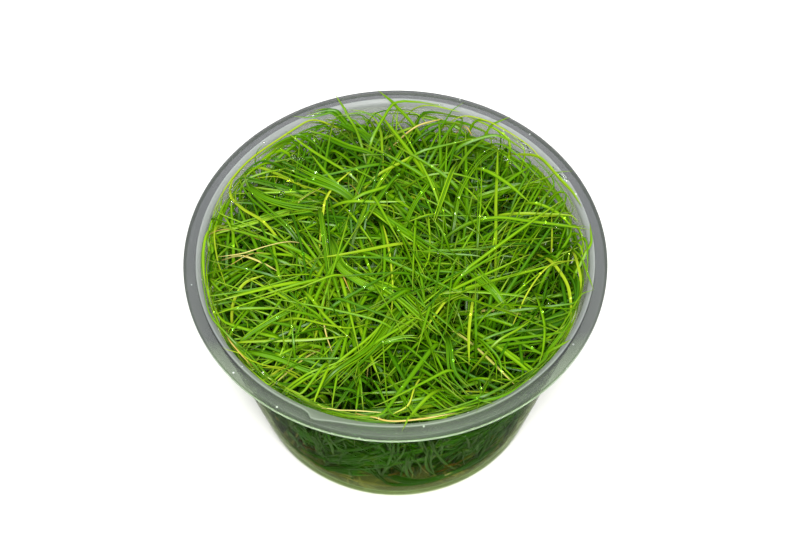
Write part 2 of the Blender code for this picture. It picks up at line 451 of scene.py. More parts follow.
for attribute in RIM_SHARES:
    cup.data.attributes.new(attribute, "FLOAT", "POINT")
frost, grey, under, front = (cup.data.attributes[attribute] for attribute in RIM_SHARES)
for vertex in cup.data.vertices:
    radius = hypot(vertex.co.x, vertex.co.y)
    angle = atan2(vertex.co.y, vertex.co.x)
    if not on_rim(radius, vertex.co.z):
        continue
    forward = -vertex.co.y / FLANGE_RADIUS
    share = rim_frost(radius, vertex.co.z, forward)
    frost.data[vertex.index].value = share
    grey.data[vertex.index].value = 1.0
    under.data[vertex.index].value = float(share == 0.0)
    # The share towards the front, which carries the rim's painted green and haze.
    front.data[vertex.index].value = 0.5 + 0.5 * forward
    if LIP_RADIUS - 0.4 * MM < radius < LIP_RADIUS + 0.6 * MM and vertex.co.z > FLANGE_TOP - 0.3 * MM:
        step = np.interp(degrees(angle), STEP_ANGLES, STEP_REACHES) * MM
        vertex.co.x += step * cos(angle)
        vertex.co.y += step * sin(angle)

plastic = Finish("cup_plastic", {"Transmission Weight": 1.0, "IOR": 1.01})
frosted = plastic.attribute("frost")
greyness = plastic.attribute("grey")
below = plastic.attribute("under")
cloudy = plastic.noise(60.0, 3.0)
grains = plastic.node("TexVoronoi", {"feature": "F1"}, {"Scale": SPECK_SCALE, "Vector": plastic.place()})
picked = plastic.axis(grains.outputs["Color"], "X").between(0.80, 0.83)
specks = (1.0 - Value(plastic, grains.outputs["Distance"]).between(0.08, 0.16)) * picked * greyness
up = plastic.axis(plastic.place(), "Z")
away = plastic.axis(plastic.place(), "Y")
# Painted shade: higher up, and lower down at the back, the wall is misted and tinted a darker grey.
painted_shade_grey = plastic.mix(cloudy, (0.12, 0.125, 0.14), (0.19, 0.195, 0.22))
wetted = plastic.mix(cloudy, (0.80, 0.86, 0.78), (0.92, 0.97, 0.90))
shade_fog_line = up + away * SHADE_FOG_SLOPE + (cloudy - 0.5) * 0.014
fog_and_painted_shade = shade_fog_line.between(SHADE_FOG_LOW, SHADE_FOG_HIGH)
wall_tint = plastic.mix(fog_and_painted_shade, wetted, painted_shade_grey)
# Painted light: the rim and its haze turn pale green towards the front.
front_for_painted_green = plastic.attribute("front")
rim_grey_and_painted_green = plastic.ramp(RIM_GREY_AND_PAINTED_GREEN, front_for_painted_green + (cloudy - 0.5) * 0.1)
tinted = plastic.mix(greyness, wall_tint, rim_grey_and_painted_green)
plastic.colour(plastic.mix(below, tinted, (0.90, 0.93, 0.92)))
plastic.roughness(0.04 + cloudy * 0.05)
plastic.bump(plastic.noise(1.0, 1.0, plastic.stretched((30.0, 30.0, 140.0))), 0.3, 0.4 * MM)
haze_and_painted_green = plastic.mix(front_for_painted_green.between(0.75, 0.95), (0.60, 0.65, 0.64), (0.53, 0.64, 0.50))
haze = frosted * (0.85 + cloudy * 0.3) + specks * 0.8 + fog_and_painted_shade * (1.0 - greyness) * FOG_HAZE
plastic.over(
    haze.maths("MINIMUM", 1.0),
    {"Base Color": haze_and_painted_green, "Roughness": 0.35, "Transmission Weight": 0.2, "IOR": 1.49},
)
plastic.lit_through(LAMP_TINT)
plastic.absorbing(PLASTIC_TINT, PLASTIC_DENSITY)
cup.data.materials.append(plastic.material)
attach(cup, "root")
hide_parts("cup")


# Jelly
# The clear nutrient jelly that the plants were raised on, poured warm, so that its edge creeps up the wall.
# Roots and old leaf bases tint it olive.
GAP = 0.3 * MM
JELLY_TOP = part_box("culture_gel")[1].z
JELLY_SEGMENTS = 96
JELLY_TINT = (0.50, 0.50, 0.0, 1.0)
JELLY_DENSITY = 110.0

jelly_outline = [
    (8.0 * MM, JELLY_TOP - 0.5 * MM),
    (16.0 * MM, JELLY_TOP - 0.5 * MM),
    (24.0 * MM, JELLY_TOP - 0.45 * MM),
    (31.0 * MM, JELLY_TOP - 0.4 * MM),
    (float(inside_radius(JELLY_TOP)) - 1.4 * MM, JELLY_TOP - 0.25 * MM),
    (float(inside_radius(JELLY_TOP)) - GAP, JELLY_TOP),
]
jelly_outline += reversed(corner(WALL + GAP, CORNER_STEPS))
jelly_outline += [
    (FOOT_RADIUS + GAP, WALL + GAP),
    (FOOT_RADIUS - WALL, PUSH_UP + WALL + GAP),
    (10.0 * MM, PUSH_UP + WALL + GAP),
]
jelly = turn("nutrient_jelly", jelly_outline, JELLY_SEGMENTS)
jelly_finish = Finish("jelly", {"Transmission Weight": 0.85, "IOR": 1.08})
murk = jelly_finish.noise(120.0, 3.0)
jelly_finish.colour(jelly_finish.mix(murk, (0.42, 0.42, 0.16), (0.80, 0.78, 0.50)))
jelly_finish.roughness(0.02 + murk * 0.08)
jelly_finish.absorbing(JELLY_TINT, JELLY_DENSITY)
jelly_finish.bump(jelly_finish.noise(90.0, 2.0), 0.5, 0.5 * MM)
jelly_finish.lit_through((0.90, 0.90, 0.80, 1.0))
jelly.data.materials.append(jelly_finish.material)
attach(jelly, "root")
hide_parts("culture_gel")


# Grass
# Each clump is many plantlets that grew from one another, most of them well above the jelly on thin runners.
# A plantlet is a fan of thin leaves that bend over below the lid that once closed the cup. Clumps at the wall
# also have dark young plantlets low down. Ranges are in millimetres and degrees.
CLUMPS = sorted(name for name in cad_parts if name.startswith("tuft_"))
SEED = 20
CROWN_HEIGHT = 10.0 * MM
OUTER_CLUMP = 20 * MM

LID_RISE = 1.6 * MM
LID_FALL = 4.3 * MM
LID_TILT = 0.8 * MM
BEND_ZONE = 13 * MM
BEND_PULL = 0.45
CROWN_ZONE = 4.0 * MM
WALL_ZONE = 3.5 * MM
WALL_CLEARANCE = 0.4 * MM
RIM_CLEARANCE = 0.5 * MM
GROWTH_STEP = 2.0 * MM
GROWTH_STEPS = 44
LINE_FINENESS = 12
TINY = 1e-6

LEAF_STATIONS = 18
LEAF_SIDES = 4
LEAF_THICKNESS = 0.55
TIP_SHARE = 0.26
LEAST_WIDTH = 0.16
BEND_WEIGHT = 0.8

PLANTLETS = 19
PLANTLET_REACH = 8.5 * MM
LOW_SHARE = 0.42
LEAVES_LOW = 5
LEAVES_HIGH = 9
RAISED_HEIGHTS = (15.0, 47.0)
RAISED_TILTS = (12, 82)
RAISED_LENGTHS = (26, 56)
LOW_TILTS = (0, 24)
LOW_LENGTHS = (46, 86)
SPREADS = (0.05, 0.10, 0.16, 0.26)
SHARED_BENDS = (2.0, 9.0)
OWN_BEND = 1.6
SAG = 2.0
DEEPEST_DROP = 15.0 * MM
WIDTHS = (0.66, 1.02)
AGES = (0.0,) * 60 + (0.15, 0.2, 0.2, 0.3, 0.6)
RUNNER_WIDTH = 0.55 * MM
RUNNER_TONE = 0.1
RUNNER_AGE = 0.15

WALL_PLANTLETS = 17
WALL_HEIGHTS = (7.0, 40.0)
WALL_LEAN_SPREAD = 0.6
WALL_SPREAD = 0.22
WALL_BEND = 9.0
WALL_DROPS = (2.0, 16.0)
WALL_LENGTHS = (14, 40)
WALL_WIDTHS = (0.6, 1.05)
WALL_TONES = (0.4, 1.1)

ROOTS = 14
ROOT_AGE = 1.5
ROOT_WIDTHS = (0.25, 0.42)
SHEATHS = 7
SHEATH_TILTS = (35, 85)
SHEATH_WIDTHS = (0.6, 1.1)
SHEATH_AGES = (0.84, 1.0)

SHEAF_BLADE_WIDTH = 0.90 * MM
SHEAF_OVERLAP = 1.15
SINGLE_WIDTHS = (0.66, 0.92)
FRONT_WIDTHS = (0.6, 0.85)
OLD_AGE = 0.5
FRONT_CLEARANCE = 3.5 * MM
FRONT_TOP = 51.0 * MM
FRONT_SIDE = -10.0 * MM
CORNER_LEVEL = 3.0 * MM
SEARCH_STEP = 0.2 * MM


def lid_height(x, y):
    """How high the grass stands: proud of the rim in the middle, and below it at the wall."""
    share = np.minimum(np.hypot(x, y) / LIP_INNER, 1.0)
    return CUP_HEIGHT + LID_RISE - (LID_FALL + LID_TILT * y / LIP_INNER) * share ** 3


def unit(vectors):
    return vectors / np.maximum(np.linalg.norm(vectors, axis=-1), 1e-9)[..., None]


def scattered(rng, size, count):
    """Random vectors, as many as asked."""
    return np.array([[rng.gauss(0.0, size) for _ in range(3)] for _ in range(count)])


def held_in(places, radius, limit):
    """Moves points in towards the middle until their radius is within a limit."""
    places[..., :2] *= np.minimum(1.0, limit / np.maximum(radius, TINY))[..., None]


def grow(places, ways, bends, drops):
    """Middle lines of many leaves, which curve steadily, bend over below the lid and slide along the wall."""
    lines = [places.copy()]
    for _ in range(GROWTH_STEPS):
        ways = ways + bends * GROWTH_STEP
        radius = np.hypot(places[:, 0], places[:, 1])
        lid = lid_height(places[:, 0], places[:, 1]) - drops
        near = np.clip((places[:, 2] - lid) / BEND_ZONE + 1.0, 0.0, 1.3)
        ways[:, 2] -= np.maximum(ways[:, 2], 0.0) * near ** 2 * BEND_PULL
        low = np.clip((CROWN_HEIGHT + CROWN_ZONE - places[:, 2]) / CROWN_ZONE, 0.0, 1.0)
        ways[:, 2] += np.maximum(-ways[:, 2], 0.0) * low
        out = places[:, :2] / np.maximum(radius, TINY)[:, None]
        limit = inside_radius(places[:, 2]) - 1.0 * MM
        outward = (ways[:, :2] * out).sum(axis=1)
        press = np.clip((radius - limit + WALL_ZONE) / WALL_ZONE, 0.0, 1.0)
        excess = np.maximum(outward - tan(WALL_LEAN) * np.maximum(ways[:, 2], 0.0), 0.0)
        ways[:, :2] -= out * (excess * press)[:, None]
        ways = unit(ways)
        places = places + ways * GROWTH_STEP
        radius = np.hypot(places[:, 0], places[:, 1])
        held_in(places, radius, inside_radius(places[:, 2]) - WALL_CLEARANCE)
        places[:, 2] = np.minimum(places[:, 2], cad_high.z - 1.0 * MM)
        lines.append(places.copy())
    return np.stack(lines, axis=1)


def stations_on(line):
    """The same line with a few points, closer together where it bends."""
    steps = np.diff(line, axis=0)
    lengths = np.linalg.norm(steps, axis=1)
    turns = np.linalg.norm(np.diff(unit(steps), axis=0), axis=1)
    turns = np.concatenate((turns, turns[-1:])) + np.concatenate((turns[:1], turns))
    weights = lengths / lengths.sum() + BEND_WEIGHT * turns / max(turns.sum(), TINY)
    reach = np.concatenate(([0.0], np.cumsum(weights)))
    wanted = np.linspace(0.0, reach[-1], LEAF_STATIONS)
    return np.stack([np.interp(wanted, reach, line[:, axis]) for axis in range(3)], axis=1)


def through(points):
    """A smooth line through a few points, with its speed fitted to their distances."""
    points = np.array(points)
    gaps = np.maximum(np.linalg.norm(np.diff(points, axis=0), axis=1), TINY)[:, None]
    slopes = np.diff(points, axis=0) / gaps
    inner = (slopes[:-1] * gaps[1:] + slopes[1:] * gaps[:-1]) / (gaps[1:] + gaps[:-1])
    slopes = np.concatenate((slopes[:1], inner, slopes[-1:]))
    line = []
    for index, gap in enumerate(gaps):
        start, end = points[index], points[index + 1]
        leave, arrive = slopes[index] * gap, slopes[index + 1] * gap
        for step in range(LINE_FINENESS):
            t = step / LINE_FINENESS
            rise = t * t * (3 - 2 * t)
            swing = leave * t * (1 - t) ** 2 - arrive * t * t * (1 - t)
            line.append(start + (end - start) * rise + swing)
    line.append(points[-1])
    return np.array(line)


def spread_ways(rng, axis, spread, count):
    """Directions scattered around one."""
    return unit(axis + scattered(rng, 1.0, count) * spread)


def leaf_points(paths, width, roll, twist, along):
    """The points of many leaves: the tapered, twisted rings of each from foot to tip, then its two ends."""
    count = len(paths)
    profile = np.minimum(1.0, 0.6 + 1.2 * along) * np.clip((1.0 - along) / TIP_SHARE, 0.0, 1.0) ** 0.5
    half = width[:, None] / 2 * np.maximum(profile, LEAST_WIDTH)
    ways = unit(np.gradient(paths, axis=1))
    side = unit(np.cross(ways[:, 0], (0.0, 0.0, 1.0)) + (1e-5, 0.0, 0.0))
    sides = []
    for station in range(LEAF_STATIONS):
        way = ways[:, station]
        side = unit(side - way * (side * way).sum(axis=1)[:, None])
        sides.append(side)
    sides = np.stack(sides, axis=1)
    others = np.cross(ways, sides)
    turned = (roll[:, None] + twist[:, None] * along)[..., None]
    first = sides * np.cos(turned) + others * np.sin(turned)
    second = others * np.cos(turned) - sides * np.sin(turned)
    angles = 2 * pi * np.arange(LEAF_SIDES) / LEAF_SIDES
    across = first[:, :, None, :] * np.cos(angles)[:, None]
    across = across + second[:, :, None, :] * (np.sin(angles) * LEAF_THICKNESS)[:, None]
    rings = paths[:, :, None, :] + across * half[:, :, None, None]
    tips = paths[:, -1] + ways[:, -1] * width[:, None]
    return np.concatenate((rings.reshape(count, -1, 3), paths[:, :1], tips[:, None]), axis=1)


def leaf_maps(count, along, ring, step):
    """Two maps of many leaves: one where all lie on one another, and one with a strip of its own for each."""
    number = np.arange(count)[:, None]
    left, right = step / LEAF_SIDES, (step + 1) / LEAF_SIDES
    u = np.stack([(number + part) / count for part in (left, right, right, left)], axis=2)
    low_v, high_v = along[:, ring], along[:, ring + 1]
    v = np.stack((low_v, low_v, high_v, high_v), axis=2)
    side = 1.0 / (count * LEAF_SIDES)
    end_u = (number + np.tile(np.arange(LEAF_SIDES), 2) / LEAF_SIDES) / count
    end_u = np.stack((end_u, end_u + side, end_u + 0.5 * side), axis=2)
    end_v = np.repeat(np.array([[0.0], [1.0]]), LEAF_SIDES, axis=0)[None] * np.ones((count, 1, 3))
    across_strips = np.concatenate((u.ravel(), end_u.ravel()))
    up_strips = np.concatenate((v.ravel(), end_v.ravel()))
    numbers = np.concatenate((np.repeat(number, u[0].size), np.repeat(number, end_u[0].size)))
    together = np.stack((across_strips * count - numbers, up_strips), axis=1)
    return together.ravel(), np.stack((across_strips, up_strips), axis=1).ravel()


def leaf_mesh(name, leaves):
    """One mesh of many closed leaves, four-sided and tapered, with crisp edges along them."""
    count = len(leaves)
    paths = np.array([leaf["path"] for leaf in leaves])
    width, tone, age, roll, twist = (
        np.array([leaf[key] for leaf in leaves]) for key in ("width", "tone", "age", "roll", "twist")
    )
    lengths = np.linalg.norm(np.diff(paths, axis=1), axis=2)
    along = np.concatenate((np.zeros((count, 1)), np.cumsum(lengths, axis=1)), axis=1)
    along /= along[:, -1:]
    points = leaf_points(paths, width, roll, twist, along)
    per_leaf = points.shape[1]
    ring, step = np.meshgrid(np.arange(LEAF_STATIONS - 1), np.arange(LEAF_SIDES), indexing="ij")
    ring, step = ring.ravel(), step.ravel()
    after = (step + 1) % LEAF_SIDES
    low, high = ring * LEAF_SIDES, (ring + 1) * LEAF_SIDES
    quads = np.stack((low + step, low + after, high + after, high + step), axis=1)
    last = (LEAF_STATIONS - 1) * LEAF_SIDES
    root, tip = per_leaf - 2, per_leaf - 1
    step_end = np.arange(LEAF_SIDES)
    after_end = (step_end + 1) % LEAF_SIDES
    ends = np.concatenate((
        np.stack((after_end, step_end, np.full(LEAF_SIDES, root)), axis=1),
        np.stack((last + step_end, last + after_end, np.full(LEAF_SIDES, tip)), axis=1),
    ))
    starts = np.arange(count)[:, None, None] * per_leaf
    faces = (quads + starts).reshape(-1, 4).tolist() + (ends + starts).reshape(-1, 3).tolist()
    mesh = bpy.data.meshes.new(name)
    mesh.from_pydata(points.reshape(-1, 3).tolist(), [], faces)
    for layer, places in zip(("Leaf", "OFBake"), leaf_maps(count, along, ring, step)):
        mesh.uv_layers.new(name=layer).uv.foreach_set("vector", places.astype(np.float32))
    for attribute, values in (("tone", tone), ("age", age)):
        made = mesh.attributes.new(attribute, "FLOAT", "POINT")
        made.data.foreach_set("value", np.repeat(values, per_leaf).astype(np.float32))
    mesh.shade_smooth()
    edges = np.empty(len(mesh.edges) * 2, np.int32)
    mesh.edges.foreach_get("vertices", edges)
    edge_ends = edges.reshape(-1, 2) % per_leaf
    crisp = (np.abs(edge_ends[:, 0] - edge_ends[:, 1]) == LEAF_SIDES) & (edge_ends.max(axis=1) < root)
    mesh.attributes.new("sharp_edge", "BOOLEAN", "EDGE").data.foreach_set("value", crisp)
    return mesh


def one_leaf(rng, line, width, tone, age=0.0):
    """A leaf on a line, held inside the wall wherever it is lower than the rim."""
    path = stations_on(line)
    limit = np.where(path[:, 2] < CUP_HEIGHT, inside_radius(path[:, 2]) - WALL_CLEARANCE, FLANGE_RADIUS)
    held_in(path, np.hypot(path[:, 0], path[:, 1]), limit)
    return {
        "path": path,
        "width": width,
        "tone": min(max(tone, 0.0), 1.0),
        "age": age,
        "roll": rng.uniform(-1.2, 1.2),
        "twist": rng.uniform(-1.0, 1.0),
    }


def plantlet_base(rng, crown, raised):
    """Where a plantlet of a clump stands: near the crown, or above it and spread out as the cup widens."""
    height = rng.uniform(*RAISED_HEIGHTS) * MM if raised else CROWN_HEIGHT
    angle, reach = rng.uniform(0, 2 * pi), PLANTLET_REACH * rng.random() ** 0.5
    base = np.array((crown.x + reach * cos(angle), crown.y + reach * sin(angle), height))
    if not raised:
        base[:2] = np.array(crown.xy) + (base[:2] - crown.xy) * 0.6
    base[:2] *= (inside_radius(height) - 3.0 * MM) / (inside_radius(CROWN_HEIGHT) - 3.0 * MM)
    return base


def plantlet(rng, crown):
    """The leaves of one plantlet of a clump, with the runner that carries it."""
    raised = rng.random() > LOW_SHARE
    base = plantlet_base(rng, crown, raised)
    tilt = radians(rng.uniform(*(RAISED_TILTS if raised else LOW_TILTS)))
    heading = rng.uniform(0, 2 * pi)
    axis = np.array((cos(heading) * sin(tilt), sin(heading) * sin(tilt), cos(tilt)))
    count = rng.randint(LEAVES_LOW, LEAVES_HIGH)
    spread = rng.choice(SPREADS)
    ways = spread_ways(rng, axis, spread, count)
    common = scattered(rng, 1.0, 1)[0] * rng.uniform(*SHARED_BENDS)
    bends = common + scattered(rng, OWN_BEND, count)
    bends[:, 2] -= SAG
    drop = rng.random() ** 1.5 * DEEPEST_DROP
    drops = drop + np.array([rng.uniform(0.0, 3.0) * MM for _ in range(count)])
    lines = grow(base + ways * 0.4 * MM, ways, bends, drops)
    width = rng.uniform(*WIDTHS) * MM
    tone = rng.uniform(0.0, 0.95)
    leaves = []
    for line in lines:
        length = rng.uniform(*(RAISED_LENGTHS if raised else LOW_LENGTHS)) * MM
        radius = np.hypot(line[:, 0], line[:, 1])
        at_wall = np.cumsum(radius > inside_radius(line[:, 2]) - 1.6 * MM)
        steps = min(int(length / GROWTH_STEP), int(np.searchsorted(at_wall, rng.randint(2, 7))))
        age = rng.choice(AGES) if raised else 0.0
        shade = tone + rng.uniform(-0.25, 0.25)
        thin = rng.uniform(0.8, 1.1) * (1.0 - 0.5 * age)
        leaves.append(one_leaf(rng, line[: max(steps, 5) + 1], width * thin, shade, age))
    if raised:
        foot = np.array((crown.x, crown.y, CROWN_HEIGHT - 1.0 * MM))
        rise = (base[2] - CROWN_HEIGHT) * 0.5
        runner = through([foot, foot + (0, 0, rise * 0.6), base - axis * min(rise * 0.5, 6.0 * MM), base])
        leaves.append(one_leaf(rng, runner, RUNNER_WIDTH, RUNNER_TONE, RUNNER_AGE))
    return leaves


def wall_plantlet(rng, crown):
    """A dark young plantlet that stands against the wall, low in the cup."""
    height = rng.uniform(*WALL_HEIGHTS) * MM
    angle = atan2(crown.y, crown.x) + rng.uniform(-0.32, 0.32)
    reach = float(inside_radius(height)) - rng.uniform(0.9, 4.0) * MM
    base = np.array((reach * cos(angle), reach * sin(angle), height))
    lean = rng.gauss(0.0, WALL_LEAN_SPREAD)
    axis = np.array((-sin(angle) * sin(lean), cos(angle) * sin(lean), cos(lean)))
    axis[:2] += np.array((cos(angle), sin(angle))) * 0.2
    count = rng.randint(LEAVES_LOW, LEAVES_HIGH)
    ways = spread_ways(rng, axis, WALL_SPREAD, count)
    bends = scattered(rng, WALL_BEND, count)
    drops = np.array([rng.uniform(*WALL_DROPS) * MM for _ in range(count)])
    tone = rng.uniform(*WALL_TONES)
    leaves = []
    for line in grow(base + ways * 0.4 * MM, ways, bends, drops):
        steps = int(rng.uniform(*WALL_LENGTHS) * MM / GROWTH_STEP)
        shade = tone + rng.uniform(-0.2, 0.2)
        leaves.append(one_leaf(rng, line[: steps + 1], rng.uniform(*WALL_WIDTHS) * MM, shade))
    return leaves


def roots(rng, crown):
    """Roots of a clump, down through the jelly and along its bottom."""
    made = []
    lowest, highest = PUSH_UP + 2 * WALL, JELLY_TOP - 0.6 * MM
    for _ in range(ROOTS):
        heading = rng.uniform(0, 2 * pi)
        point = np.array((crown.x, crown.y, CROWN_HEIGHT + 0.5 * MM))
        way = np.array((cos(heading), sin(heading), -rng.uniform(0.2, 0.8)))
        turning = rng.gauss(0.0, 25.0)
        line = [point]
        for _ in range(rng.randint(9, 24)):
            turn_by = turning * GROWTH_STEP + rng.gauss(0.0, 0.22)
            way = np.array((
                way[0] * cos(turn_by) - way[1] * sin(turn_by),
                way[0] * sin(turn_by) + way[1] * cos(turn_by),
                way[2] * 0.9 + rng.gauss(0.0, 0.12),
            ))
            point = point + unit(way) * GROWTH_STEP * 0.8
            if len(line) > 2:
                point[2] = min(max(point[2], lowest), highest)
            held_in(point, hypot(point[0], point[1]), float(inside_radius(point[2])) - 0.7 * MM)
            line.append(point)
        made.append(one_leaf(rng, np.array(line), rng.uniform(*ROOT_WIDTHS) * MM, 0.5, ROOT_AGE))
    return made


def old_sheaths(rng, crown):
    """Short brown dead leaves round a clump's crown."""
    tilts = [radians(rng.uniform(*SHEATH_TILTS)) for _ in range(SHEATHS)]
    headings = [rng.uniform(0, 2 * pi) for _ in range(SHEATHS)]
    ways = np.array([(cos(h) * sin(t), sin(h) * sin(t), cos(t)) for h, t in zip(headings, tilts)])
    places = np.array((crown.x, crown.y, CROWN_HEIGHT)) + ways * 1.5 * MM
    lines = grow(places, ways, scattered(rng, WALL_BEND, SHEATHS), np.zeros(SHEATHS))
    return [
        one_leaf(
            rng, line[: rng.randint(5, 10)], rng.uniform(*SHEATH_WIDTHS) * MM, 0.3, rng.uniform(*SHEATH_AGES)
        )
        for line in lines
    ]


def along_front(made):
    """True for a leaf that lies along the inside of the front wall, where upright ones are to show."""
    path = made["path"]
    near_wall = np.hypot(path[:, 0], path[:, 1]) > inside_radius(path[:, 2]) - FRONT_CLEARANCE
    return (near_wall & (path[:, 1] < FRONT_SIDE) & (path[:, 2] < FRONT_TOP)).sum() > 3


def crown_of(name):
    """The middle of a clump's foot in the frame."""
    feet = [v.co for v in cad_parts[name].data.vertices if v.co.z < 4.0 * MM]
    return sum(feet, Vector()) / len(feet)


# The leaves that stand out in the photograph, each with the picture's pixels along its middle line, from root
# to tip. A sheaf also has its number of blades, its width in millimetres and its tone.
SHEAVES = (
    (7, 3.6, 0.55, ((340, 191), (310, 178), (282, 165))),
    (6, 3.0, 0.60, ((247, 186), (266, 197), (292, 204), (318, 207), (336, 211))),
    (4, 1.6, 0.50, ((321, 215), (327, 258), (331, 296))),
    (8, 4.2, 0.60, ((333, 243), (341, 264), (361, 278), (394, 292), (417, 315), (440, 330))),
    (5, 2.6, 0.75, ((373, 209), (394, 224), (418, 240), (431, 249), (447, 257))),
    (7, 3.6, 0.55, ((496, 291), (478, 273), (461, 254))),
    (8, 4.8, 0.65, ((396, 312), (378, 336), (350, 362), (315, 396))),
    (4, 2.2, 0.75, ((333, 374), (370, 347), (385, 327), (396, 311))),
    (3, 1.5, 0.80, ((455, 214), (460, 190), (472, 169), (486, 153), (515, 141))),
    (3, 1.2, 0.70, ((356, 227), (371, 193), (401, 148), (417, 118), (428, 98))),
    (3, 1.4, 0.60, ((357, 191), (367, 166), (378, 141), (392, 118))),
    (4, 1.8, 0.75, ((232, 341), (212, 316), (206, 289), (204, 266), (207, 244))),
    (3, 1.4, 0.70, ((241, 341), (272, 318), (296, 306), (312, 301))),
    (4, 2.2, 0.25, ((374, 137), (353, 126), (333, 120), (311, 117), (289, 115))),
    (3, 1.6, 0.30, ((364, 134), (350, 125), (333, 117), (306, 115))),
    (3, 1.4, 0.75, ((408, 292), (426, 307), (441, 319), (463, 341))),
    (3, 1.6, 0.55, ((380, 286), (398, 298), (418, 315), (431, 327), (451, 342))),
    (3, 1.2, 0.80, ((452, 172), (441, 202), (433, 226))),
    (3, 1.4, 0.60, ((398, 240), (404, 225), (415, 199), (430, 178), (449, 149), (459, 117))),
    (5, 2.6, 0.20, ((449, 346), (453, 373), (474, 397))),
    (2, 1.0, 0.70, ((432, 252), (447, 253), (475, 254), (505, 260))),
    (2, 0.9, 0.75, ((443, 289), (475, 289), (500, 291), (527, 295), (538, 301))),
    (2, 1.0, 0.85, ((538, 301), (545, 327), (544, 350), (540, 367))),
    (3, 1.4, 0.60, ((541, 364), (548, 352), (564, 330), (577, 306))),
    (3, 1.2, 0.40, ((458, 405), (501, 396), (538, 371))),
    (3, 1.4, 0.55, ((231, 341), (246, 354), (266, 377), (290, 394))),
    (4, 2.2, 0.55, ((252, 350), (275, 355), (307, 367), (330, 372))),
    (3, 1.6, 0.65, ((283, 392), (310, 373), (335, 364), (360, 353))),
    (3, 1.5, 0.60, ((456, 230), (472, 222), (495, 218), (530, 222), (560, 226), (591, 231))),
    (2, 0.8, 0.50, ((478, 233), (480, 187), (478, 156))),
    (3, 1.6, 0.45, ((368, 150), (348, 144), (325, 134), (302, 127))),
    (3, 1.4, 0.60, ((389, 339), (408, 336), (424, 338))),
    (2, 1.0, 0.60, ((485, 342), (497, 357), (499, 382))),
    (3, 1.6, 0.60, ((287, 227), (266, 209), (246, 187), (240, 172))),
)
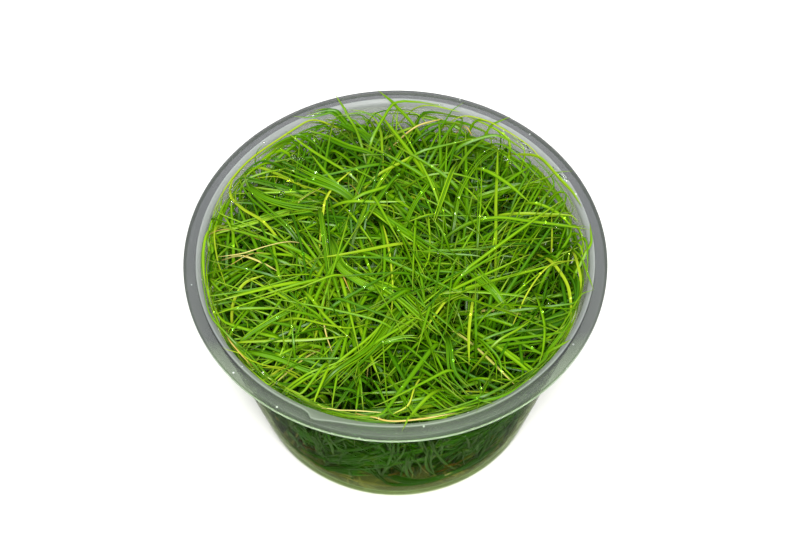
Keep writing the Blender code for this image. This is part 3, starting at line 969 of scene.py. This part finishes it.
# Blades that stand out on their own, each with its age.
SINGLES = (
    (0.30, ((308, 121), (290, 132), (278, 140), (260, 152), (241, 167), (230, 178), (221, 193), (211, 213))),
    (0.30, ((263, 220), (241, 206), (230, 192), (231, 178), (240, 169))),
    (0.15, ((229, 222), (221, 207), (221, 193))),
    (0.28, ((325, 193), (299, 184), (275, 176), (255, 178))),
    (0.00, ((246, 178), (260, 172), (287, 166))),
    (0.40, ((323, 212), (325, 201), (333, 187), (352, 170))),
    (0.00, ((338, 186), (321, 167), (312, 155))),
    (0.10, ((348, 172), (333, 163), (312, 150), (287, 132))),
    (0.20, ((382, 146), (381, 132), (374, 118), (364, 111), (350, 109))),
    (0.10, ((360, 140), (353, 124), (345, 112), (336, 96))),
    (0.10, ((410, 120), (394, 104), (379, 91))),
    (0.00, ((361, 196), (387, 187), (397, 181))),
    (0.10, ((351, 168), (368, 176), (379, 181))),
    (0.00, ((348, 202), (375, 202), (405, 202))),
    (0.20, ((379, 204), (392, 207), (394, 219))),
    (0.00, ((212, 216), (229, 222), (256, 231))),
    (0.00, ((452, 117), (463, 103))),
    (0.10, ((466, 153), (487, 134), (510, 117))),
    (0.20, ((496, 235), (496, 199), (497, 172), (498, 143))),
    (0.10, ((510, 215), (527, 184), (540, 163))),
    (0.15, ((533, 180), (556, 173), (571, 171))),
    (0.20, ((542, 161), (559, 178), (573, 193), (581, 206))),
    (0.32, ((466, 117), (487, 120), (510, 132), (533, 149), (542, 161), (556, 172))),
    (0.25, ((429, 102), (449, 106), (461, 111))),
    (0.10, ((430, 175), (449, 173), (472, 178), (487, 182))),
    (0.00, ((487, 172), (507, 184), (529, 203))),
    (0.00, ((541, 203), (556, 210), (574, 227))),
    (0.00, ((504, 146), (522, 160), (535, 175))),
    (0.25, ((533, 215), (561, 213))),
    (0.25, ((380, 172), (397, 163), (418, 152), (431, 147))),
    (0.30, ((215, 231), (217, 258), (226, 287))),
    (0.10, ((209, 274), (226, 271), (244, 270), (254, 272))),
    (0.32, ((235, 295), (244, 281), (266, 272))),
    (0.10, ((218, 303), (254, 290), (280, 282), (307, 273))),
    (0.10, ((272, 238), (278, 270), (287, 304))),
    (0.00, ((223, 310), (256, 308), (284, 308))),
    (0.10, ((309, 295), (325, 315), (351, 338))),
    (0.20, ((299, 320), (327, 326), (351, 329), (371, 324))),
    (0.15, ((325, 315), (348, 312), (385, 303))),
    (0.20, ((241, 342), (263, 341), (318, 339), (347, 336))),
    (0.30, ((280, 368), (269, 367), (246, 359), (224, 349))),
    (0.10, ((212, 281), (232, 300), (256, 312))),
    (0.15, ((429, 223), (430, 240), (428, 261), (416, 280))),
    (0.10, ((496, 221), (494, 240), (487, 261))),
    (0.30, ((472, 306), (469, 330), (469, 364))),
    (0.38, ((530, 289), (541, 274), (553, 264), (576, 261))),
    (0.30, ((556, 264), (567, 281), (571, 300), (571, 320))),
    (0.30, ((577, 260), (581, 281), (579, 294), (574, 306))),
    (0.10, ((585, 258), (591, 243), (590, 225))),
    (0.10, ((583, 264), (588, 275), (593, 288))),
    (0.10, ((568, 315), (580, 300), (593, 290))),
    (0.10, ((548, 353), (559, 347), (570, 341))),
    (0.15, ((502, 336), (518, 327), (535, 315))),
    (0.10, ((500, 386), (521, 375), (539, 368))),
    (0.10, ((383, 341), (385, 375), (389, 414))),
    (0.10, ((330, 414), (349, 418), (381, 418))),
    (0.10, ((428, 396), (415, 410), (403, 429))),
    (0.00, ((485, 388), (481, 398), (477, 411))),
    (0.00, ((470, 398), (482, 402), (494, 405))),
    (0.30, ((297, 376), (278, 367), (260, 366))),
    (0.48, ((414, 389), (408, 405), (392, 414))),
    (0.78, ((287, 242), (260, 248), (244, 253), (218, 257))),
    (0.90, ((246, 254), (234, 261), (224, 267))),
    (0.72, ((246, 254), (266, 262), (278, 269))),
    (0.90, ((224, 230), (218, 231), (204, 239))),
    (0.85, ((324, 323), (327, 336), (332, 350))),
    (0.76, ((333, 411), (358, 412), (385, 414))),
    (0.88, ((389, 421), (421, 419), (455, 413))),
    (0.95, ((356, 189), (362, 199))),
    (0.95, ((345, 279), (350, 291))),
    (0.92, ((231, 343), (240, 356), (250, 367))),
    (0.85, ((418, 124), (443, 117))),
    (0.92, ((467, 127), (472, 135))),
)
# Blades that lie against the inside of the front wall, each with its depth behind the wall in millimetres,
# its tone and its age.
FRONT_BLADES = (
    (0.8, 0.9, 0.0, ((318, 433), (324, 447), (329, 461))),
    (0.6, 1.0, 0.0, ((324, 435), (331, 445), (334, 455))),
    (1.2, 0.7, 0.0, ((329, 434), (335, 444), (341, 452))),
    (1.0, 0.8, 0.0, ((310, 435), (316, 443), (322, 453), (325, 463))),
    (1.4, 0.6, 0.0, ((320, 447), (323, 457), (327, 464))),
    (1.6, 0.5, 0.0, ((344, 440), (346, 447), (341, 453))),
    (0.6, 1.0, 0.0, ((374, 455), (362, 453), (352, 454), (342, 457), (338, 465))),
    (0.9, 0.8, 0.0, ((380, 449), (370, 453), (358, 462))),
    (0.8, 0.9, 0.0, ((394, 443), (392, 453), (388, 463), (386, 468))),
    (1.2, 0.8, 0.0, ((398, 443), (397, 453), (394, 459))),
    (0.6, 1.0, 0.0, ((405, 447), (400, 457), (390, 467))),
    (1.4, 0.6, 0.0, ((390, 445), (394, 453), (390, 461))),
    (0.6, 1.0, 0.0, ((410, 455), (417, 461), (421, 469), (419, 475))),
    (0.9, 0.9, 0.0, ((408, 455), (406, 465), (408, 475), (413, 480))),
    (1.1, 0.8, 0.0, ((405, 461), (402, 469), (401, 478))),
    (0.6, 0.9, 0.0, ((410, 459), (410, 469), (416, 477))),
    (1.3, 0.7, 0.0, ((413, 452), (411, 462), (405, 472))),
    (0.6, 1.0, 0.0, ((428, 440), (434, 449), (440, 459), (452, 468))),
    (0.8, 0.9, 0.0, ((432, 439), (436, 451), (446, 463), (456, 469))),
    (0.6, 1.0, 0.0, ((428, 449), (426, 459), (428, 469), (436, 475))),
    (1.0, 0.8, 0.0, ((430, 451), (430, 463), (434, 473))),
    (1.4, 0.7, 0.0, ((440, 440), (442, 450), (440, 459))),
    (1.2, 0.7, 0.0, ((462, 451), (463, 459), (465, 465))),
    (0.8, 1.0, 0.0, ((490, 429), (486, 443), (480, 455), (474, 463))),
    (1.0, 0.9, 0.0, ((498, 423), (494, 435), (488, 447))),
    (1.2, 0.9, 0.0, ((504, 425), (500, 435), (497, 441))),
    (1.4, 0.8, 0.0, ((481, 436), (476, 446), (468, 456))),
    (1.0, 0.6, 0.0, ((276, 425), (282, 435), (290, 445))),
    (1.3, 0.6, 0.0, ((288, 431), (296, 439), (298, 447))),
    (1.5, 0.6, 0.0, ((300, 436), (303, 446), (309, 455))),
    (0.8, 0.7, 0.0, ((350, 469), (352, 476), (353, 484))),
    (0.5, 0.5, 0.95, ((444, 466), (452, 464), (461, 464))),
    (0.5, 0.5, 0.92, ((388, 475), (393, 474), (398, 473))),
    (0.5, 0.5, 0.80, ((443, 473), (448, 474), (453, 473))),
    (0.5, 0.5, 0.75, ((313, 462), (317, 465), (320, 467))),
    (0.4, 0.5, 1.50, ((334, 471), (344, 474), (354, 477))),
    (0.4, 0.5, 1.50, ((346, 477), (362, 483), (378, 489))),
    (0.4, 0.5, 1.50, ((424, 480), (442, 476), (452, 472))),
    (0.4, 0.5, 1.50, ((458, 478), (466, 474), (474, 468))),
)


def on_mat(x, y):
    """The point that the photograph shows at a pixel, on the rim, the wall's inside or the grass's top."""
    height = CUP_HEIGHT + RIM_CLEARANCE
    point = at_pixel(x, y, height)
    if hypot(point.x, point.y) > LIP_INNER - 0.3 * MM:
        return np.array(point)
    while height > float(lid_height(point.x, point.y)) + 0.6 * MM:
        height -= SEARCH_STEP
        point = at_pixel(x, y, height)
        if hypot(point.x, point.y) > float(inside_radius(height)) - 0.7 * MM:
            break
    return np.array(point)


def behind_front(x, y, depth):
    """The point at a depth behind the front wall's inside that the photograph shows at a pixel."""
    height = FRONT_TOP
    point = at_pixel(x, y, height)
    while height > CORNER_LEVEL and hypot(point.x, point.y) > float(inside_radius(height)) - depth:
        height -= SEARCH_STEP
        point = at_pixel(x, y, height)
    return np.array(point)


def routed(rng, pixels):
    """The clump and the line of a leaf that shows at some pixels, carried by a runner from the clump."""
    top = np.array([on_mat(x, y) for x, y in pixels])
    top[:, 2] += rng.uniform(-1.2, 0.6) * MM
    back = unit(top[0] - top[1])
    wish = top[0][:2] + back[:2] * 12.0 * MM
    clump = min(CLUMPS, key=lambda name: hypot(*(np.array(crowns[name].xy) * 1.25 - wish)))
    foot = np.array((*crowns[clump].xy, CROWN_HEIGHT))
    under = top[0] + back * 9.0 * MM - (0.0, 0.0, 7.0 * MM)
    middle = foot + (under - foot) * (0.62, 0.62, 0.58)
    for point in (under, middle):
        held_in(point, hypot(point[0], point[1]), float(inside_radius(point[2])) - 2.0 * MM)
    placed[clump].append(one_leaf(rng, through([foot, middle, under]), RUNNER_WIDTH, RUNNER_TONE, RUNNER_AGE))
    return clump, through([under, *top])


def kept_in(line):
    """The same line, lifted over the rim if it leaves the cup there, and else held inside the wall."""
    radius = np.hypot(line[:, 0], line[:, 1])
    if radius[-1] > LIP_INNER:
        bar = CUP_HEIGHT + RIM_CLEARANCE
        lift = np.interp(radius, (LIP_INNER - WALL_ZONE, LIP_INNER - 0.6 * MM), (bar - 4.0 * MM, bar))
        line[:, 2] = np.where(radius > LIP_INNER - WALL_ZONE, np.maximum(line[:, 2], lift), line[:, 2])
        limit = np.full(len(line), FLANGE_RADIUS - 0.3 * MM)
    else:
        limit = inside_radius(line[:, 2]) - 0.6 * MM
    held_in(line, radius, limit)
    line[:, 2] = np.minimum(line[:, 2], cad_high.z - 0.5 * MM)
    return line


crowns = {name: crown_of(name) for name in CLUMPS}
placed = {name: [] for name in CLUMPS}
rng = Random(SEED)
for blades, spread, tone, pixels in SHEAVES:
    clump, line = routed(rng, pixels)
    ways = np.gradient(line, axis=0)
    side = unit(np.cross(ways, (0.0, 0.0, 1.0)) + (TINY, 0.0, 0.0))
    share = np.linspace(0.0, 1.0, len(line))[:, None]
    width = min(SHEAF_BLADE_WIDTH, spread * MM / blades * SHEAF_OVERLAP)
    for index in range(blades):
        across = (index - (blades - 1) / 2 + rng.uniform(-0.25, 0.25)) / max(blades - 1, 1)
        open_out = (0.25 + 0.75 * share) * spread * MM * across + rng.uniform(-0.8, 0.8) * MM * share ** 3
        blade = line + side * open_out
        blade[:, 2] += share[:, 0] * rng.uniform(-0.9, 0.6) * MM
        blade = kept_in(blade[: int(len(blade) * rng.uniform(0.84, 1.0))])
        blade_width = width * rng.uniform(0.85, 1.15)
        placed[clump].append(one_leaf(rng, blade, blade_width, tone + rng.uniform(-0.3, 0.3)))
for age, pixels in SINGLES:
    clump, line = routed(rng, pixels)
    width = rng.uniform(*SINGLE_WIDTHS) * MM * (1.0 - 0.6 * age)
    placed[clump].append(one_leaf(rng, kept_in(line), width, rng.uniform(0.45, 0.9), age * 0.9))
for depth, tone, age, pixels in FRONT_BLADES:
    line = [behind_front(x, y, depth * MM) for x, y in pixels]
    if age < OLD_AGE:
        line.insert(0, line[0] * (0.84, 0.84, 1.0))
    clump = min(CLUMPS, key=lambda name: hypot(*(np.array(crowns[name].xy) - line[0][:2])))
    width = rng.uniform(*FRONT_WIDTHS) * MM * (1.0 - 0.3 * age)
    placed[clump].append(one_leaf(rng, through(line), width, tone, age))

# A leaf is darker the lower it stands, as painted shade. A painted highlight runs along its middle, its foot
# has painted shade, and its tip is yellower, as an old leaf is all over. An age above 1 is a root.
GREENS = [
    (0.0, (0.008, 0.048, 0.0001)),
    (0.35, (0.034, 0.125, 0.0003)),
    (0.70, (0.095, 0.240, 0.0006)),
    (1.0, (0.230, 0.400, 0.006)),
]
STRAWS = [
    (0.15, (0.20, 0.34, 0.006)),
    (0.42, (0.34, 0.42, 0.020)),
    (0.72, (0.52, 0.46, 0.15)),
    (0.86, (0.44, 0.30, 0.05)),
    (1.0, (0.30, 0.11, 0.01)),
]
ROOT_LOOKS = ((0.42, 0.34, 0.14), (0.62, 0.54, 0.30))
PAINTED_LIGHT_HEIGHTS = (43.0 * MM, 57.5 * MM)
DEEPEST_PAINTED_LIGHT = 0.32

leaf = Finish(
    "grass_leaf",
    {"IOR": 1.42, "Specular IOR Level": 0.2, "Coat Weight": 0.03, "Coat Roughness": 0.15},
)
leaf_map = leaf.node("UVMap", {"uv_map": "Leaf"}).outputs["UV"]
along = leaf.axis(leaf_map, "Y")
around = leaf.axis(leaf_map, "X")
tone = leaf.attribute("tone")
age = leaf.attribute("age")
apart = leaf.node("CombineXYZ", {}, {"X": around * 3.0, "Y": along * 9.0, "Z": tone * 70.0}).outputs[0]
mottle = leaf.noise(1.0, 3.0, apart)
# Painted shade: leaves, and old ones too, darken the lower they stand in the cup.
painted_light_by_height = leaf.axis(leaf.place(), "Z").between(*PAINTED_LIGHT_HEIGHTS) * (1.0 - DEEPEST_PAINTED_LIGHT) + DEEPEST_PAINTED_LIGHT
# Painted highlight: a lighter line along the middle of each broad face of a leaf.
painted_highlight_line = 1.0 - ((around * 2.0).maths("FRACT") - 0.5).maths("ABSOLUTE") * 2.0
greens = leaf.ramp(GREENS, (tone * 0.62 + mottle * 0.24 + painted_highlight_line * 0.26) * painted_light_by_height)
# Painted shade: the lower half of each leaf darkens to a near black green towards its foot.
foot = leaf.mix(along.between(0.0, 0.55), (0.016, 0.050, 0.0005), greens)
tipped = leaf.mix(along.between(0.86, 1.0) * 0.35, foot, (0.28, 0.34, 0.03))
straws = leaf.ramp(STRAWS, age + (mottle - 0.5) * 0.35)
shaded = leaf.mix(painted_light_by_height, (0.05, 0.028, 0.006), straws)
dried = leaf.mix(age.between(0.0, 0.3), tipped, shaded)
leaf.colour(leaf.mix(age.between(1.05, 1.3), dried, leaf.mix(mottle, *ROOT_LOOKS)))
leaf.roughness(0.28 + mottle * 0.18)
leaf.bump(mottle, 0.35, 0.05 * MM)

leaf_paths = []
for number, name in enumerate(CLUMPS):
    rng = Random(SEED + number)
    leaves = placed[name]
    for _ in range(PLANTLETS):
        leaves += [made for made in plantlet(rng, crowns[name]) if not along_front(made)]
    if crowns[name].xy.length > OUTER_CLUMP:
        for _ in range(WALL_PLANTLETS):
            leaves += wall_plantlet(rng, crowns[name])
    leaves += roots(rng, crowns[name]) + old_sheaths(rng, crowns[name])
    tuft = bpy.data.objects.new(name + "_leaves", leaf_mesh(name + "_leaves", leaves))
    scene.collection.objects.link(tuft)
    tuft.data.materials.append(leaf.material)
    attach(tuft, "root")
    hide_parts(name)
    leaf_paths += [made["path"] for made in leaves]


# Water
# Drops of the water that was in the closed cup: small ones on the upper leaves, and flatter ones in streaks
# on the inside of the wall at the back. Sizes are in millimetres, and a streak runs from pixel to pixel.
DROPS = 170
DROP_SEED = 7
DROP_SEGMENTS = 8
DROP_RINGS = 6
DROP_SIZES = (0.14, 0.34)
DROP_REACH = 1.2 * MM
DEEPEST_DROPS = 14.0 * MM
STREAK_SIZES = (0.22, 0.55)
STREAKS = (
    ((309, 117), (329, 112)), ((519, 141), (531, 153)), ((504, 158), (510, 162)), ((545, 164), (556, 170)),
    ((560, 176), (566, 180)), ((291, 157), (302, 160)), ((280, 196), (290, 176)),
)

bare_selection()
bpy.ops.mesh.primitive_uv_sphere_add(segments=DROP_SEGMENTS, ring_count=DROP_RINGS, radius=1.0)
one_drop = bpy.context.object
ball = np.array([vertex.co for vertex in one_drop.data.vertices])
ball_faces = [list(face.vertices) for face in one_drop.data.polygons]
bpy.data.objects.remove(one_drop)

rng = Random(DROP_SEED)
stations = np.concatenate(leaf_paths)
stations = stations[stations[:, 2] > CUP_HEIGHT - DEEPEST_DROPS]
water_points = []
for _ in range(DROPS):
    angle, reach = rng.uniform(0, 2 * pi), LIP_INNER * rng.random() ** 0.5
    gap = np.hypot(stations[:, 0] - reach * cos(angle), stations[:, 1] - reach * sin(angle))
    close = stations[gap < DROP_REACH]
    if len(close):
        size = rng.uniform(*DROP_SIZES) * MM
        place = close[close[:, 2].argmax()] + (0.0, 0.0, 0.25 * MM + 0.5 * size)
        place[2] = min(place[2], cad_high.z - size)
        water_points.append(place + ball * size * (1.0, 1.0, rng.uniform(0.7, 1.1)))
for start, end in STREAKS:
    for share in np.linspace(0.0, 1.0, rng.randint(4, 7)):
        pixel = np.array(start) + (np.array(end) - start) * share + (rng.uniform(-1, 1), rng.uniform(-1, 1))
        size = rng.uniform(*STREAK_SIZES) * MM
        water_points.append(on_mat(*pixel) + ball * size * (1.2, 0.6, 1.0))
water_faces = [
    [point + index * len(ball) for point in face] for index in range(len(water_points)) for face in ball_faces
]
water_mesh = bpy.data.meshes.new("water_drops")
water_mesh.from_pydata(np.concatenate(water_points).tolist(), [], water_faces)
water_mesh.shade_smooth()
water = bpy.data.objects.new("water_drops", water_mesh)
scene.collection.objects.link(water)
wet = Finish("water", {"Base Color": (1.0, 1.0, 1.0, 1.0), "Transmission Weight": 1.0, "IOR": 1.333})
wet.roughness(wet.noise(900.0) * 0.06)
wet.lit_through((0.95, 0.97, 0.95, 1.0))
water.data.materials.append(wet.material)
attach(water, "root")
